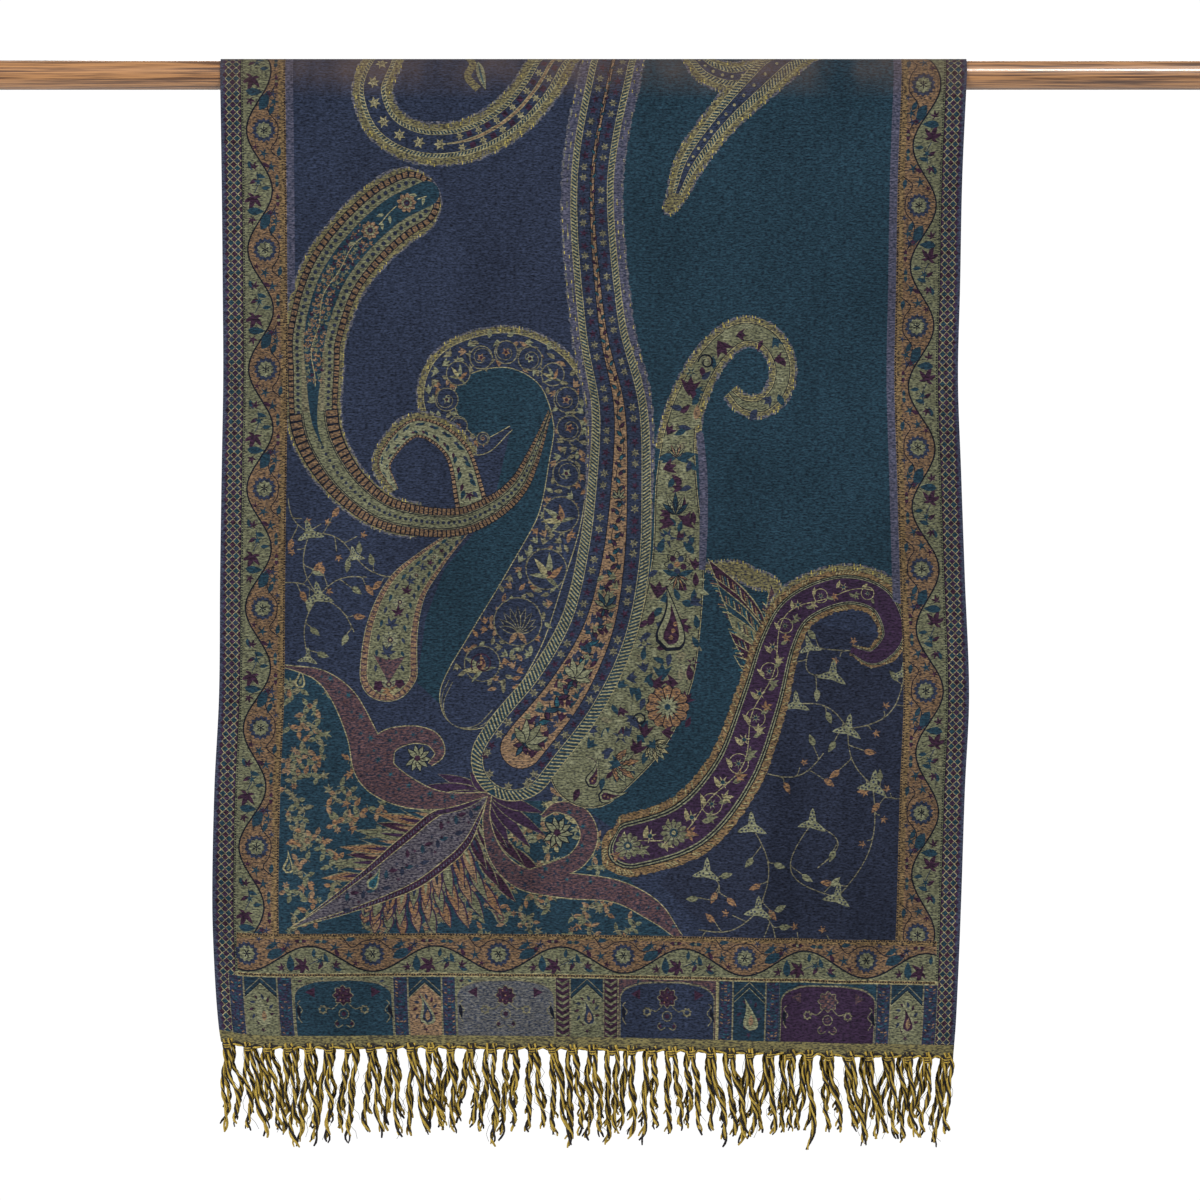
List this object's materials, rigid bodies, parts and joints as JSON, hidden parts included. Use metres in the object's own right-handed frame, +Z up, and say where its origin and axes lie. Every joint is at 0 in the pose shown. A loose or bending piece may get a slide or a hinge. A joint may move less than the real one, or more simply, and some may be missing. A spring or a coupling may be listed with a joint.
{
  "type": "jamawar shawl draped over a wooden rod",
  "caption": "Woven paisley shawl with a knotted fringe at both ends, folded in half over a round wooden rod.",
  "frame": {"origin": "on the rod's axis, midway along it, where the rod is held and the cloth hangs", "axes": "+X along the rod to the viewer's right, -Y out of the front drop, +Z up"},
  "size_m": [1.2192, 0.054, 1.0381],
  "materials": {
    "rod_wood": "gloss varnish",
    "shawl_weave": "matt twill weave in navy, teal, olive, purple and ochre",
    "fringe_yarn": "loosely twisted ochre and black yarn"
  },
  "bodies": {
    "root": {"rod": "rod_wood", "shawl_cloth": "shawl_weave", "fringe_front": "fringe_yarn", "fringe_back": "fringe_yarn"}
  },
  "joints": []
}
